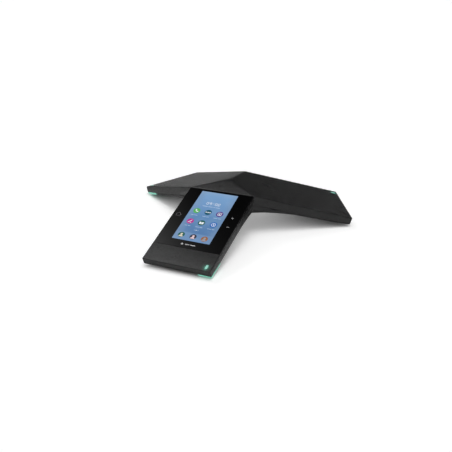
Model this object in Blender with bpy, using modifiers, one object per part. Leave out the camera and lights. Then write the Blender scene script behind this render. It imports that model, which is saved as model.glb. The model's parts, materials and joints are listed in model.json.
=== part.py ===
"""Three-legged conference IP phone: Y-shaped body, glass touch panel on the front arm.

Driving dimensions are in millimetres and become metres when a mesh is made. The hub axis is the
three-fold axis of the body. Arm coordinates are lateral (to the left of someone looking outward),
along (distance from the hub axis) and height. Slope coordinates lie in an arm's roof plane: lateral,
slope (distance from the notch line, outward) and depth (below the roof, square to it).
"""
import bmesh
import bpy
from math import asin, atan, cos, pi, radians, sin, sqrt, tan
from mathutils import Matrix, Vector
from mathutils.geometry import delaunay_2d_cdt

MM = 0.001
GAP = 0.3                      # clearance between pieces that meet
BEYOND = 5.0                   # how far a cutter reaches past what it cuts

# Body
REACH = 190.0                  # hub axis to the top edge of a tip, before its edge is rounded
ARM_WIDTH = 110.6
PEAK_Z = 74.5
TIP_Z = 15.1
CORNER_R = 1.3
CORNER_LEAST = 0.6             # the corner radius of an inset outline stays above this
EDGE_DROP = 1.2                # depth at which the rounded upper edge meets the sides
EDGE_MIDDLE = 0.35             # inset and depth of the rounded upper edge halfway round
WALL = 1.8
HALF = ARM_WIDTH / 2
GRADIENT = (PEAK_Z - TIP_Z) / REACH
TILT = atan(GRADIENT)
NOTCH_ALONG = HALF / tan(radians(60))
NOTCH_R = HALF / sin(radians(60))
SIDE_STATIONS = (48, 64, 80, 97, 115, 135, 156, 172)
CORNER_STEPS = 3
CREASE_SOFTNESS = 8.0
CREASE_FRACTIONS = (0.12, 0.3, 0.5, 0.7, 0.86)
CREASE_SHARES = (-1, -0.5, 0, 0.5, 1)
CORNER_LOSS = CORNER_R * (cos(radians(30)) + sin(radians(30)) - 1)
FACE_REACH = REACH - GRADIENT * EDGE_DROP
REAR_REACH = FACE_REACH * sin(radians(30)) + HALF * cos(radians(30)) - CORNER_LOSS
HUB_Y = (FACE_REACH - REAR_REACH) / 2   # puts the origin under the middle of the bounding box

# Depth of the vertical side band, and depth and inward reach of the belly below it, along an arm
BAND = ((0, 14.0), (97, 14.0), (156, 12.6), (190, 10.5))
BELLY_DEPTH = ((0, 18.3), (28, 18.3), (48, 12.4), (64, 8.9), (84, 5.2), (100, 3.4), (190, 2.4))
BELLY_REACH = ((0, 8.5), (48, 7.6), (85, 5.4), (113, 4.5), (190, 4.5))
BELLY_STEPS = 4
SEAM = 0.35                    # step from the cover's side back to the belly
FLOOR = 1.6
LIP_HEIGHT = 2.0
LIP_OUT = 2.1
LIP_IN = 3.3

# Touch panel, in slope coordinates
GLASS_START = 0.35
GLASS_TOP = 0.02
GLASS_EDGE = 0.6
GLASS_LENGTH = 130.6
GLASS_HALF = HALF - GAP
GLASS_THICK = 2.2
WINDOW_DEPTH = 2.6
DISPLAY_LAYERS = {             # node: half width, slope range, depth range, material
    "display_gasket": (52.4, (0.9, 129.6), (2.5, 3.5), "foam"),
    "lcd_panel": (33.2, (2.6, 119), (2.5, 4.3), "lcd"),
    "backlight_unit": (33.2, (2.6, 119), (4.6, 7.2), "frame_steel"),
    "display_frame": (50, (1.5, 128), (7.5, 8.7), "frame_steel"),
}
GASKET_OPENING = (34, (2.2, 120.5))
FLEX_HALF = 10
FLEX_START = 70
FLEX_END = 120.2
FLEX_DEPTH = 9.1
FLEX_THICK = 0.3
RISER_DEPTH = (3.4, 9.3)
FLEX_SLOT = ((-FLEX_HALF - 2, FLEX_HALF + 2), (FLEX_END - 1, FLEX_END + 0.8), (6, 10))

# Boards that hang under the roofs: lateral, slope and depth ranges
MAIN_BOARD = ((-40, 40), (4, 74), (12, 13.6))
PROCESSOR_SHIELD = ((-22, 18), (20, 50), (9.8, 11.7))
WIRELESS_BOARD = ((-12, 12), (30, 52), (10.2, 11.2))
WIRELESS_CAN = ((-9, 9), (33, 49), (8.4, 10.5))
ANTENNA_RIGHT = ((49.6, 50.4), (60, 95), (3.5, 11))
ANTENNA_LEFT = ((-50.4, -49.6), (60, 95), (3.5, 11))
TIP_BOARD = ((31, 50), (138, 160), (6.3, 7.5))

# Light sources on a tip board: a row along the side and a row along the end
LED_LENGTH = 3
LED_DEPTH = (5.2, 6.6)
SIDE_LEDS = ((47, 49.6), (143, 148, 153))
END_LEDS = ((34, 40), (157.2, 159.6))
MICROPHONE = (3.0, (36, -148, -6.0), 2.4)

# Lit corner of each tip: outer and inner inset, top and bottom below the side band
PIPE_SECTION = (0.5, LIP_IN, GAP, 3.1)
PIPE_CUT_SECTION = (-1.5, LIP_IN + GAP, -LIP_HEIGHT - 0.5, 6)
PIPE_START = 156
PIPE_ACROSS = 22

# Mute sign: a capsule with a flange under the roof
MUTE_LATERAL = 46.1
MUTE_SLOPE = 157.5
MUTE_R = 1.7
MUTE_MIDDLE = 2.2              # from the capsule's centre to the centre of each round end
MUTE_DEPTH = (0.05, 2.6)
MUTE_CUT_DEPTH = (-1, 2.5)
FLANGE_HALVES = (5, 6)
FLANGE_DEPTH = (2.1, 3.1)

# Foot and ribbon cable of each arm
FOOT_HALF = 20
FOOT_ALONG = (162.0, 179.0)
FOOT_EDGE = 1.2
RIBBON_ALONG = (74, 86, 100, 125, 155)
RIBBON_LATERAL = (38, 44)
RIBBON_THICK = 0.4
RIBBON_LIFT = 0.9              # above the base cover's inner floor

# Connector bay under the hub, in hub coordinates
BAY_HALF = 34.0
BAY_FRONT = 37.6
BAY_BACK = 67.3
BAY_TOP = 50.3
BAY_WALL = 2.0
BAY_INSET = 2.7                # the bay's walls end in the middle of the base cover's lip
BAY_LOW = 20.0
BAY_SHELL = (0.5, 0.1)         # the bay's walls stay this far inside and above the belly
BAY_ROOF = (3.0, 4.0)          # depth of the bay's walls below the roof, and below its peak
PANEL_Y = 38.0
PANEL_THICK = 1.6
PANEL_HALF = 33.7
PANEL_LOW = 35.0
SHELF_FRONT = 4.7              # from the bay's front to the edge of the panel's shelf
SHELF_BACK = 0.5
SHELF_THICK = 1.1

# Sockets between the I/O board and the port panel; pairs are (x, z) or (low, high)
BOARD_Y = 22.2
BOARD_THICK = 1.6
BOARD_HALF = 33
BOARD_HEIGHT = (36.4, 49.2)
SOCKET_BACK = BOARD_Y + BOARD_THICK + GAP
SOCKET_FRONT = PANEL_Y - GAP
SOCKETS = {                    # node: middle, block size, mouth size, mouth depth
    "lan_jack": ((-17.5, 42.8), (16.0, 12.8), (12.0, 8.6), 12.0),
    "pc_jack": ((0.0, 42.8), (16.0, 12.8), (12.0, 8.6), 12.0),
    "usb_a_port": ((17.0, 40.2), (13.6, 7.0), (12.2, 5.0), 10.0),
    "micro_usb_port": ((13.8, 46.6), (8.4, 3.6), (7.0, 2.0), 5.0),
}
LATCH_HALF = 3
LATCH_DEPTH = 9
LATCH_HEIGHT = (46, 48.3)
WINDOWS = {                    # x range and z range of each opening in the port panel
    "lan_window": ((-23.8, -11.2), (38.2, 48.6)),
    "pc_window": ((-6.3, 6.3), (38.2, 48.6)),
    "usb_window": ((10.6, 23.4), (37.4, 43.0)),
    "micro_usb_window": ((9.9, 17.7), (45.2, 48.0)),
    "lock_window": ((-31.3, -27.7), (38.6, 46.2)),
}
AUDIO_BODY = ((19.2, 24.2), (44.3, 49.0))
AUDIO_MIDDLE = (21.7, 46.6)
AUDIO_HOLE_R = 1.8
AUDIO_WINDOW_R = 2.2
AUDIO_DEPTH = 13
LOCK_BODY = ((-33.4, -26.0), (36.6, 48.2))
LOCK_SLOT = ((-31.1, -27.9), (38.9, 45.9))
LOCK_BACK = 1.9
IO_CABLE = ((-30, -38, 36.3), (-20, 20.5, 36.7))

# Power button: radius, distance behind the panel's back and length of each cylinder
BUTTON_MIDDLE = (28.6, 42.5)
BUTTON_CAP = (3.2, 1.6, 4.0)
BUTTON_RIM = (4.0, 1.7, 1.4)
BUTTON_WINDOW_R = 3.5
BUTTON_STEPS = 20
# Its switch: radius, distance from the I/O board and length
PLUNGER = (1.2, 8.2, 5.6)
PLUNGER_BORE = (1.5, 6.6, 8)
SWITCH_HALF = 3
SWITCH_LENGTH = 8

# Case screws in arm coordinates (arm, lateral, along)
TIP_SCREWS = [(arm, side * 26, 166) for arm in range(3) for side in (-1, 1)]
HUB_SCREWS = [(1, 21.3, 63), (2, -21.3, 63)]
SCREW_SPOTS = TIP_SCREWS + HUB_SCREWS

# What surrounds a case screw: radius, foot above the outer floor, length
COVER_PILOT = (1.3, 4, 7.0)
BASE_BOSS = (5.0, 0.8, 3.6)
BASE_RECESS = (3.5, -8, 10.2)
BASE_HOLE = (1.8, 1, 6)
COVER_BOSS_R = 3.5
COVER_BOSS_FOOT = 4.7
BOSS_SINK = 1.2                # a cover boss ends this far below the roof's outside

# Screws: head radius, head height, shank radius, shank length
CASE_SCREW = (3.0, 1.5, 1.1, 8.0)
CASE_SCREW_SEAT = 0.4          # the head's outer face above the outer floor
BOARD_SCREW = (2.4, 1.3, 0.8, 4.6)
HEAD_CHAMFER = (0.5, 0.4)
SCREW_STEPS = 12

# Main board screws in the front arm's slope frame, and what surrounds them: radius, foot, length
BOARD_SCREWS = ((-35, -10), (35, -68))
STANDOFF = (2.5, -11.7, 3.5)
STANDOFF_PILOT = (1.0, -12.5, 3.5)
BOARD_HOLE = (1.3, -15, 5)
BOARD_SCREW_SEAT = -15.2

# Loudspeaker, on the hub axis: (radius, height) profiles
FLANGE_R = 31.5
FLANGE_TOP = 60.5
FLANGE_LOW = 58.7
GASKET_PROFILE = ((30.6, 62.1), (30.6, 60.8), (27.4, 60.8), (27.4, 62.1))
FRAME_PROFILE = ((26.6, FLANGE_TOP), (FLANGE_R, FLANGE_TOP), (FLANGE_R, FLANGE_LOW),
                 (28.0, FLANGE_LOW), (21.0, 48.2), (21.0, 46.9), (12.5, 46.9), (12.5, 48.2),
                 (19.4, 48.2), (26.6, 59.2))
MAGNET_PROFILE = ((0, 49.5), (7.2, 49.5), (7.2, 40.6), (9.8, 40.6), (9.8, 46.6), (16.0, 46.6),
                  (16.0, 38.2), (0, 38.2))
COIL_PROFILE = ((7.8, 52.3), (8.6, 52.3), (8.6, 43.0), (7.8, 43.0))
SPIDER_START = 9.0
SPIDER_PITCH = 1.15
SPIDER_POINTS = 10
SPIDER_Z = 50.6
SPIDER_WAVE = 0.5
DOME_OUTER = (9.0, 52.9, 2.2)  # radius, base height, rise
DOME_INNER = (8.9, 52.5, 1.9)
DOME_STEPS = 5
CONE_SKIRT = [(22.0, 59.4), (22.0, 58.8), (9.4, 52.5)]
ROLL_MIDDLE = (24.3, 59.3)
ROLL_SIZE = (1.95, 1.5)
ROLL_STEPS = 6
SHEET_HALF = 0.25              # half the thickness of the spider and the surround

# Ears of the loudspeaker and the pegs they sit on: radius, foot, length
EAR_R = 34.5
EAR = (3.6, FLANGE_LOW, 1.8)
EAR_HOLE = (1.3, 57, 5)
EAR_PEG = (1.0, 57.7, 4.0)
EAR_BOSS_R = 2.6
EAR_BOSS_SINK = 1.0

ARM_NAMES = ("front", "right", "left")
TURN_STEPS = 32

COLORS = {
    "body_black": ((0.035, 0.035, 0.038), 0.55, 0.0),
    "belly_black": ((0.02, 0.02, 0.022), 0.6, 0.0),
    "glass": ((0.01, 0.01, 0.012), 0.08, 0.0),
    "lcd": ((0.1, 0.25, 0.55), 0.2, 0.0),
    "frame_steel": ((0.5, 0.5, 0.5), 0.4, 0.9),
    "light_pipe": ((0.3, 0.9, 0.7), 0.3, 0.0),
    "rubber": ((0.03, 0.03, 0.03), 0.8, 0.0),
    "board_green": ((0.02, 0.18, 0.08), 0.5, 0.0),
    "jack_metal": ((0.6, 0.6, 0.58), 0.35, 0.9),
    "jack_plastic": ((0.03, 0.03, 0.03), 0.5, 0.0),
    "screw_steel": ((0.3, 0.3, 0.3), 0.4, 0.9),
    "magnet_steel": ((0.35, 0.35, 0.36), 0.4, 0.8),
    "cone_paper": ((0.05, 0.05, 0.05), 0.85, 0.0),
    "copper": ((0.6, 0.3, 0.15), 0.4, 0.9),
    "flex_orange": ((0.5, 0.25, 0.05), 0.45, 0.0),
    "foam": ((0.04, 0.04, 0.04), 0.95, 0.0),
}


# ---------------------------------------------------------------- scene helpers

def clear_scene():
    for obj in list(bpy.data.objects):
        bpy.data.objects.remove(obj, do_unlink=True)


def new_collection(name):
    collection = bpy.data.collections.new(name)
    bpy.context.scene.collection.children.link(collection)
    return collection


def make_material(name):
    color, roughness, metallic = COLORS[name]
    material = bpy.data.materials.get(name)
    if material:
        return material
    material = bpy.data.materials.new(name)
    material.use_nodes = True
    shader = material.node_tree.nodes["Principled BSDF"]
    shader.inputs["Base Color"].default_value = (*color, 1.0)
    shader.inputs["Roughness"].default_value = roughness
    shader.inputs["Metallic"].default_value = metallic
    return material


clear_scene()
PARTS = new_collection("conference_phone")
CUTTERS = new_collection("cutters")


def add_empty(name, parent, matrix):
    empty = bpy.data.objects.new(name, None)
    PARTS.objects.link(empty)
    empty.parent = parent
    empty.matrix_local = matrix
    return empty


def offset(x, y, z):
    return Matrix.Translation(Vector((x, y, z)) * MM)


HUB = add_empty("hub", None, offset(0, HUB_Y, 0))
ARMS = [add_empty("arm_" + name, HUB, Matrix.Rotation(radians(120 * index), 4, "Z"))
        for index, name in enumerate(ARM_NAMES)]
SLOPES = [add_empty("slope_" + name, ARMS[index],
                    offset(0, -NOTCH_ALONG, PEAK_Z - GRADIENT * NOTCH_ALONG)
                    @ Matrix.Rotation(TILT, 4, "X"))
          for index, name in enumerate(ARM_NAMES)]


def add_object(name, mesh_builder, slot, parent=None, matrix=None):
    """Links a part made from a bmesh in millimetres."""
    bmesh.ops.recalc_face_normals(mesh_builder, faces=mesh_builder.faces)
    bmesh.ops.scale(mesh_builder, vec=(MM, MM, MM), verts=mesh_builder.verts)
    mesh = bpy.data.meshes.new(name)
    mesh_builder.to_mesh(mesh)
    mesh_builder.free()
    obj = bpy.data.objects.new(name, mesh)
    obj.parent = parent or HUB
    obj.matrix_local = matrix or Matrix.Identity(4)
    if slot:
        mesh.materials.append(make_material(slot))
        PARTS.objects.link(obj)
    else:
        CUTTERS.objects.link(obj)
        obj.hide_render = True
        obj.display_type = "WIRE"
    return obj


def boolean(target, tool, operation="DIFFERENCE"):
    modifier = target.modifiers.new(tool.name, "BOOLEAN")
    modifier.operation = operation
    modifier.object = tool
    return modifier


def bevel(target, width, segments=2, angle=40):
    modifier = target.modifiers.new("edge", "BEVEL")
    modifier.width = width * MM
    modifier.segments = segments
    modifier.limit_method = "ANGLE"
    modifier.angle_limit = radians(angle)
    return modifier


def smooth(target, angle=35):
    target.data.shade_smooth()
    target.data.set_sharp_from_angle(angle=radians(angle))


def add_box(builder, low, high):
    size = Vector(high) - Vector(low)
    middle = (Vector(high) + Vector(low)) / 2
    bmesh.ops.create_cube(builder, size=1.0,
                          matrix=Matrix.Translation(middle) @ Matrix.Diagonal((*size, 1)))


def add_rod(builder, radius, foot, length, segments=16, axis="Z"):
    """A cylinder that starts at foot and runs along an axis."""
    turn = {"Z": Matrix.Identity(4), "Y": Matrix.Rotation(-pi / 2, 4, "X"),
            "X": Matrix.Rotation(pi / 2, 4, "Y")}[axis]
    place = Matrix.Translation(Vector(foot)) @ turn @ Matrix.Translation((0, 0, length / 2))
    bmesh.ops.create_cone(builder, cap_ends=True, segments=segments, radius1=radius,
                          radius2=radius, depth=length, matrix=place)


def box_part(name, low, high, slot, parent=None, matrix=None):
    builder = bmesh.new()
    add_box(builder, low, high)
    return add_object(name, builder, slot, parent, matrix)


def boxes_part(name, boxes, slot, parent=None):
    builder = bmesh.new()
    for low, high in boxes:
        add_box(builder, low, high)
    return add_object(name, builder, slot, parent)


def rods_part(name, rods, slot, parent=None):
    """Several cylinders in one object: (radius, foot, length, segments, axis) each."""
    builder = bmesh.new()
    for radius, foot, length, segments, axis in rods:
        add_rod(builder, radius, foot, length, segments, axis)
    return add_object(name, builder, slot, parent)


def slab(name, lateral, slope, depth, slot, arm=0):
    """A box in slope coordinates; each argument is a (low, high) pair."""
    return box_part(name, (lateral[0], -slope[1], -depth[1]), (lateral[1], -slope[0], -depth[0]),
                    slot, SLOPES[arm])


def turned(name, profile, slot, parent=None, matrix=None, steps=TURN_STEPS):
    """A solid of revolution: the profile's (radius, height) points run down its outer side."""
    builder = bmesh.new()
    points = [builder.verts.new((radius, 0, height)) for radius, height in profile]
    closed = profile[0][0] > 0
    for first, second in zip(points, points[1:]):
        builder.edges.new((first, second))
    if closed:
        builder.edges.new((points[-1], points[0]))
    bmesh.ops.scale(builder, vec=(MM, MM, MM), verts=builder.verts)
    mesh = bpy.data.meshes.new(name)
    builder.to_mesh(mesh)
    builder.free()
    mesh.materials.append(make_material(slot))
    obj = bpy.data.objects.new(name, mesh)
    PARTS.objects.link(obj)
    obj.parent = parent or HUB
    obj.matrix_local = matrix or Matrix.Identity(4)
    screw = obj.modifiers.new("turn", "SCREW")
    screw.steps = steps
    screw.render_steps = steps
    screw.use_merge_vertices = True
    screw.merge_threshold = 0.00001
    screw.use_smooth_shade = True
    return obj


# ---------------------------------------------------------------- body geometry

def along_table(table, along):
    """Straight-line reading of a ((along, value), ...) table."""
    for (a0, v0), (a1, v1) in zip(table, table[1:]):
        if along <= a1:
            return v0 + (v1 - v0) * max(0.0, along - a0) / (a1 - a0)
    return table[-1][1]


def band(along):
    return along_table(BAND, along)


def belly_depth(along):
    return along_table(BELLY_DEPTH, along)


def belly_reach(along):
    return along_table(BELLY_REACH, along)


def roof(along):
    return PEAK_Z - GRADIENT * along


def floor_depth(along):
    """Depth of the base cover's outer floor below the roof."""
    return band(along) + GAP + belly_depth(along)


def arm_point(arm, lateral, along, height):
    angle = radians(120 * arm)
    return Vector((lateral * cos(angle) + along * sin(angle),
                   lateral * sin(angle) - along * cos(angle), height))


def tip_end(inset, depth):
    """How far out the tip face is at a depth: it leans inward, square to the roof."""
    return REACH - inset - GRADIENT * depth


def outline(inset, depth):
    """The Y outline at an inset and depth, both functions of along; three runs of equal length."""
    points = []
    notch_half = HALF - inset(NOTCH_ALONG)
    tip_inset = inset(REACH)
    radius = max(CORNER_R - tip_inset, CORNER_LEAST)
    end = tip_end(tip_inset, depth(REACH))
    tip_half = HALF - tip_inset
    for arm in range(3):
        run = [(-notch_half, notch_half / tan(radians(60)))]
        run += [(-(HALF - inset(station)), station) for station in SIDE_STATIONS]
        for quarter, sign in ((0, -1), (1, 1)):
            for step in range(CORNER_STEPS + 1):
                angle = pi - (quarter + step / CORNER_STEPS) * pi / 2
                run.append((sign * (tip_half - radius) + radius * cos(angle),
                            end - radius + radius * sin(angle)))
        run += [(HALF - inset(station), station) for station in reversed(SIDE_STATIONS)]
        points += [arm_point(arm, lateral, along, roof(along) - depth(along))
                   for lateral, along in run]
    return points


def constant(value):
    return lambda along: value


def soft_along(point):
    """The largest of the three along values, rounded over near the creases inside the hub."""
    values = sorted((Vector((sin(radians(120 * arm)), -cos(radians(120 * arm)))).dot(point[:2])
                     for arm in range(3)), reverse=True)
    spread = CREASE_SOFTNESS * max(0.0, 1 - (Vector(point[:2]).length / NOTCH_R) ** 2)
    result = values[0]
    for other in values[1:]:
        if spread > 0 and abs(result - other) < spread:
            result = max(result, other) + (spread - abs(result - other)) ** 2 / (4 * spread)
    return result


def hub_points():
    """Points inside the hub triangle, on rays beside each crease."""
    points = [Vector((0, 0))]
    for fraction in CREASE_FRACTIONS:
        spread = CREASE_SOFTNESS / sqrt(3) * (1 - fraction ** 2)
        angle = min(asin(min(1.0, spread / (fraction * NOTCH_R))), radians(40))
        for arm in range(3):
            for share in CREASE_SHARES:
                turn = radians(120 * arm - 30) + share * angle
                points.append(fraction * NOTCH_R * Vector((cos(turn), sin(turn))))
    return points


def add_cap(builder, ring, peak_drop, rounded):
    """Closes a ring with strips across each arm and a hub triangle."""
    count = len(ring)
    run = count // 3
    half_run = run // 2
    for arm in range(3):
        left = [ring[arm * run + step] for step in range(half_run + 1)]
        right = [ring[((arm + 1) * run - step) % count] for step in range(half_run + 1)]
        for step in range(half_run):
            builder.faces.new((left[step], left[step + 1], right[step + 1], right[step]))
    corners = [ring[arm * run] for arm in range(3)]
    if peak_drop is None:
        builder.faces.new(corners)
    elif not rounded:
        peak = builder.verts.new((0, 0, PEAK_Z - peak_drop))
        for first, second in zip(corners, corners[1:] + corners[:1]):
            builder.faces.new((first, second, peak))
    else:
        plan = [Vector(corner.co[:2]) for corner in corners] + hub_points()
        flat, _, faces, *_ = delaunay_2d_cdt(plan, [(0, 1), (1, 2), (2, 0)], [(0, 1, 2)], 1, 1e-4)
        verts = list(corners)
        for point in flat[3:]:
            verts.append(builder.verts.new((*point, PEAK_Z - GRADIENT * soft_along(point))))
        for face in faces:
            builder.faces.new([verts[index] for index in face])


def ring_solid(name, rings, first_peak, last_peak, slot, rounded=False):
    """A closed body lofted through outlines, with a cap on the first and on the last."""
    builder = bmesh.new()
    loops = [[builder.verts.new(point) for point in outline(*ring)] for ring in rings]
    for upper, lower in zip(loops, loops[1:]):
        for index in range(len(upper)):
            after = (index + 1) % len(upper)
            builder.faces.new((upper[index], lower[index], lower[after], upper[after]))
    add_cap(builder, loops[0], first_peak, rounded)
    add_cap(builder, loops[-1], last_peak, False)
    return add_object(name, builder, slot)


def belly_rings(inward=0.0, raised=0.0):
    """Outlines down the curved belly, moved inward and with its floor raised."""
    rings = []
    for step in range(BELLY_STEPS + 1):
        angle = step / BELLY_STEPS * pi / 2
        inset = lambda along, angle=angle: SEAM + inward + belly_reach(along) * (1 - cos(angle))
        depth = lambda along, angle=angle: (
            band(along) + GAP + (belly_depth(along) - raised) * sin(angle))
        rings.append((inset, depth))
    return rings


def corner_path(inset, depth, start, across):
    """Side, corner and tip face of the lit corner, as points in arm coordinates."""
    tip_half = HALF - inset
    radius = max(CORNER_R - inset, CORNER_LEAST)
    end = tip_end(inset, depth(REACH))
    path = [(tip_half, start), (tip_half, SIDE_STATIONS[-1])]
    for step in range(CORNER_STEPS + 1):
        angle = step / CORNER_STEPS * pi / 2
        path.append((tip_half - radius + radius * cos(angle), end - radius + radius * sin(angle)))
    path.append((HALF - across, end))
    return [(lateral, -along, roof(along) - depth(along)) for lateral, along in path]


def corner_bar(name, arm, section, start, across, slot):
    """A four-sided bar bent round the lit corner of a tip."""
    outer, inner, top, bottom = section
    edges = [(outer, top), (outer, bottom), (inner, bottom), (inner, top)]
    builder = bmesh.new()
    lines = [[builder.verts.new(point) for point in
              corner_path(inset, lambda along, extra=extra: band(along) + extra, start, across)]
             for inset, extra in edges]
    for first, second in zip(lines, lines[1:] + lines[:1]):
        for index in range(len(first) - 1):
            builder.faces.new((first[index], first[index + 1], second[index + 1], second[index]))
    builder.faces.new([line[0] for line in lines])
    builder.faces.new([line[-1] for line in reversed(lines)])
    return add_object(name, builder, slot, ARMS[arm])


# ---------------------------------------------------------------- covers

def screw_places():
    """(hub x, hub y, roof height, outer floor height) of each case screw."""
    places = []
    for arm, lateral, along in SCREW_SPOTS:
        point = arm_point(arm, lateral, along, 0)
        places.append((point.x, point.y, roof(along), roof(along) - floor_depth(along)))
    return places


def at_case_screws(shape):
    """The same cylinder at every case screw, its foot measured from the outer floor."""
    radius, foot, length = shape
    return [(radius, (x, y, floor + foot), length, SCREW_STEPS, "Z")
            for x, y, _, floor in screw_places()]


def at_board_screws(shape):
    radius, foot, length = shape
    return [(radius, (x, y, foot), length, SCREW_STEPS, "Z") for x, y in BOARD_SCREWS]


def at_ears(shape, segments=SCREW_STEPS):
    radius, foot, length = shape
    return [(radius, (*speaker_ear(index), foot), length, segments, "Z") for index in range(3)]


def cover_bosses():
    """Bosses from the roof down to the base cover's bosses and to the loudspeaker's ears."""
    bosses = [(COVER_BOSS_R, (x, y, floor + COVER_BOSS_FOOT),
               top - BOSS_SINK - floor - COVER_BOSS_FOOT, SCREW_STEPS, "Z")
              for x, y, top, floor in screw_places()]
    ear_foot = FLANGE_TOP + GAP
    return bosses + at_ears((EAR_BOSS_R, ear_foot, roof(EAR_R / 2) - EAR_BOSS_SINK - ear_foot))


def make_top_cover():
    rings = [(constant(EDGE_DROP), constant(0.0)), (constant(EDGE_MIDDLE), constant(EDGE_MIDDLE)),
             (constant(0.0), constant(EDGE_DROP)), (constant(0.0), band),
             (constant(WALL), band), (constant(WALL), constant(WALL))]
    cover = ring_solid("top_cover", rings, 0.0, WALL, "body_black", rounded=True)
    boolean(cover, slab("window_cut", (-HALF - BEYOND, HALF + BEYOND), (0, GLASS_LENGTH + GAP),
                        (-BEYOND, WINDOW_DEPTH), None))
    boolean(cover, rods_part("cover_bosses", cover_bosses(), None), "UNION")
    boolean(cover, rods_part("speaker_pegs", at_ears(EAR_PEG), None), "UNION")
    boolean(cover, rods_part("cover_pilots", at_case_screws(COVER_PILOT), None))
    for arm in range(3):
        boolean(cover, mute_shape("mute_cut_" + ARM_NAMES[arm], arm, GAP, MUTE_CUT_DEPTH, None))
    return cover


def make_base_cover():
    outer = [(constant(LIP_IN), lambda along: band(along) - LIP_HEIGHT),
             (constant(LIP_OUT), lambda along: band(along) - LIP_HEIGHT),
             (constant(LIP_OUT), lambda along: band(along) + GAP)]
    inner = belly_rings(LIP_IN - SEAM, FLOOR)
    base = ring_solid("base_cover", inner[::-1] + outer + belly_rings(), None, None, "belly_black")
    boolean(base, make_bay_block(), "UNION")
    boolean(base, box_part("bay_cut", (-BAY_HALF, BAY_FRONT - BEYOND, BAY_LOW - BEYOND),
                           (BAY_HALF, BAY_BACK, BAY_TOP), None))
    boolean(base, rods_part("base_bosses", at_case_screws(BASE_BOSS), None), "UNION")
    boolean(base, rods_part("base_recesses", at_case_screws(BASE_RECESS), None))
    boolean(base, rods_part("base_holes", at_case_screws(BASE_HOLE), None))
    for arm in range(3):
        boolean(base, corner_bar("pipe_cut_" + ARM_NAMES[arm], arm, PIPE_CUT_SECTION,
                                 PIPE_START - GAP, PIPE_ACROSS + GAP, None))
    return base


def make_bay_block():
    """The block that the bay is cut from, trimmed to the inside of the body."""
    roof_depth, peak_depth = BAY_ROOF
    volume = ring_solid("bay_volume", belly_rings(*BAY_SHELL)[::-1]
                        + [(constant(BAY_INSET), lambda along: band(along) + GAP),
                           (constant(BAY_INSET), constant(roof_depth))], None, peak_depth, None)
    block = box_part("bay_block", (-BAY_HALF - BAY_WALL, BAY_FRONT - PANEL_THICK, BAY_LOW),
                     (BAY_HALF + BAY_WALL, BAY_BACK + BAY_WALL, BAY_TOP + WALL), None)
    boolean(block, volume, "INTERSECT")
    return block


def make_screw(name, size, parent, matrix):
    """A pan-head screw that points up, its head's outer face on z = 0."""
    head_r, head, shank_r, shank = size
    across, along = HEAD_CHAMFER
    turned(name, [(0, head + shank), (shank_r, head + shank), (shank_r, head), (head_r, head),
                  (head_r, along), (head_r - across, 0), (0, 0)], "screw_steel", parent, matrix,
           SCREW_STEPS)


def make_case_screws():
    for index, (x, y, _, floor) in enumerate(screw_places()):
        make_screw(f"case_screw_{index + 1}", CASE_SCREW, HUB, offset(x, y, floor + CASE_SCREW_SEAT))


# ---------------------------------------------------------------- tips

def mute_shape(name, arm, grow, depth, slot):
    """The capsule of the microphone sign, through the roof of a tip."""
    radius = MUTE_R + grow
    top, bottom = depth
    builder = bmesh.new()
    points = []
    for middle, start in ((MUTE_MIDDLE, 0), (-MUTE_MIDDLE, pi)):
        for step in range(7):
            angle = start + step * pi / 6
            points.append(builder.verts.new((radius * cos(angle), middle + radius * sin(angle),
                                             -bottom)))
    face = builder.faces.new(points)
    lifted = bmesh.ops.extrude_face_region(builder, geom=[face])["geom"]
    bmesh.ops.translate(builder, vec=(0, 0, bottom - top),
                        verts=[item for item in lifted if isinstance(item, bmesh.types.BMVert)])
    return add_object(name, builder, slot, SLOPES[arm], offset(MUTE_LATERAL, -MUTE_SLOPE, 0))


def make_tip(arm):
    name = ARM_NAMES[arm]
    corner_bar("light_pipe_" + name, arm, PIPE_SECTION, PIPE_START, PIPE_ACROSS, "light_pipe")
    lens = mute_shape("mute_lens_" + name, arm, 0, MUTE_DEPTH, "light_pipe")
    half_lateral, half_slope = FLANGE_HALVES
    flange = slab("mute_flange_" + name, (MUTE_LATERAL - half_lateral, MUTE_LATERAL + half_lateral),
                  (MUTE_SLOPE - half_slope, MUTE_SLOPE + half_slope), FLANGE_DEPTH, None, arm)
    boolean(lens, flange, "UNION")
    board = slab("tip_board_" + name, *TIP_BOARD, "board_green", arm)
    boolean(board, boxes_part("led_blocks_" + name, led_boxes(), None, SLOPES[arm]), "UNION")
    builder = bmesh.new()
    add_rod(builder, *MICROPHONE)
    microphone = add_object("microphone_" + name, builder, "jack_metal", SLOPES[arm])
    bevel(microphone, 0.3, 1)
    make_foot(arm)
    make_tip_cable(arm)


def led_boxes():
    """Corners of the light sources, in the slope frame."""
    high, low = LED_DEPTH
    (near, far), stations = SIDE_LEDS
    boxes = [((near, -station, -low), (far, -station + LED_LENGTH, -high)) for station in stations]
    laterals, (near, far) = END_LEDS
    return boxes + [((lateral, -far, -low), (lateral + LED_LENGTH, -near, -high))
                    for lateral in laterals]


def make_foot(arm):
    """A wedge of rubber between the sloping floor of a tip and the table."""
    low, high = FOOT_ALONG
    top_low = roof(low) - floor_depth(low) - GAP
    top_high = roof(high) - floor_depth(high) - GAP
    builder = bmesh.new()
    add_box(builder, (-FOOT_HALF, -high, 0), (FOOT_HALF, -low, 1))
    for vert in builder.verts:
        if vert.co.z > 0.5:
            vert.co.z = top_low if vert.co.y > -(low + high) / 2 else top_high
    foot = add_object("foot_" + ARM_NAMES[arm], builder, "rubber", ARMS[arm])
    bevel(foot, FOOT_EDGE)
    smooth(foot)


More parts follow.
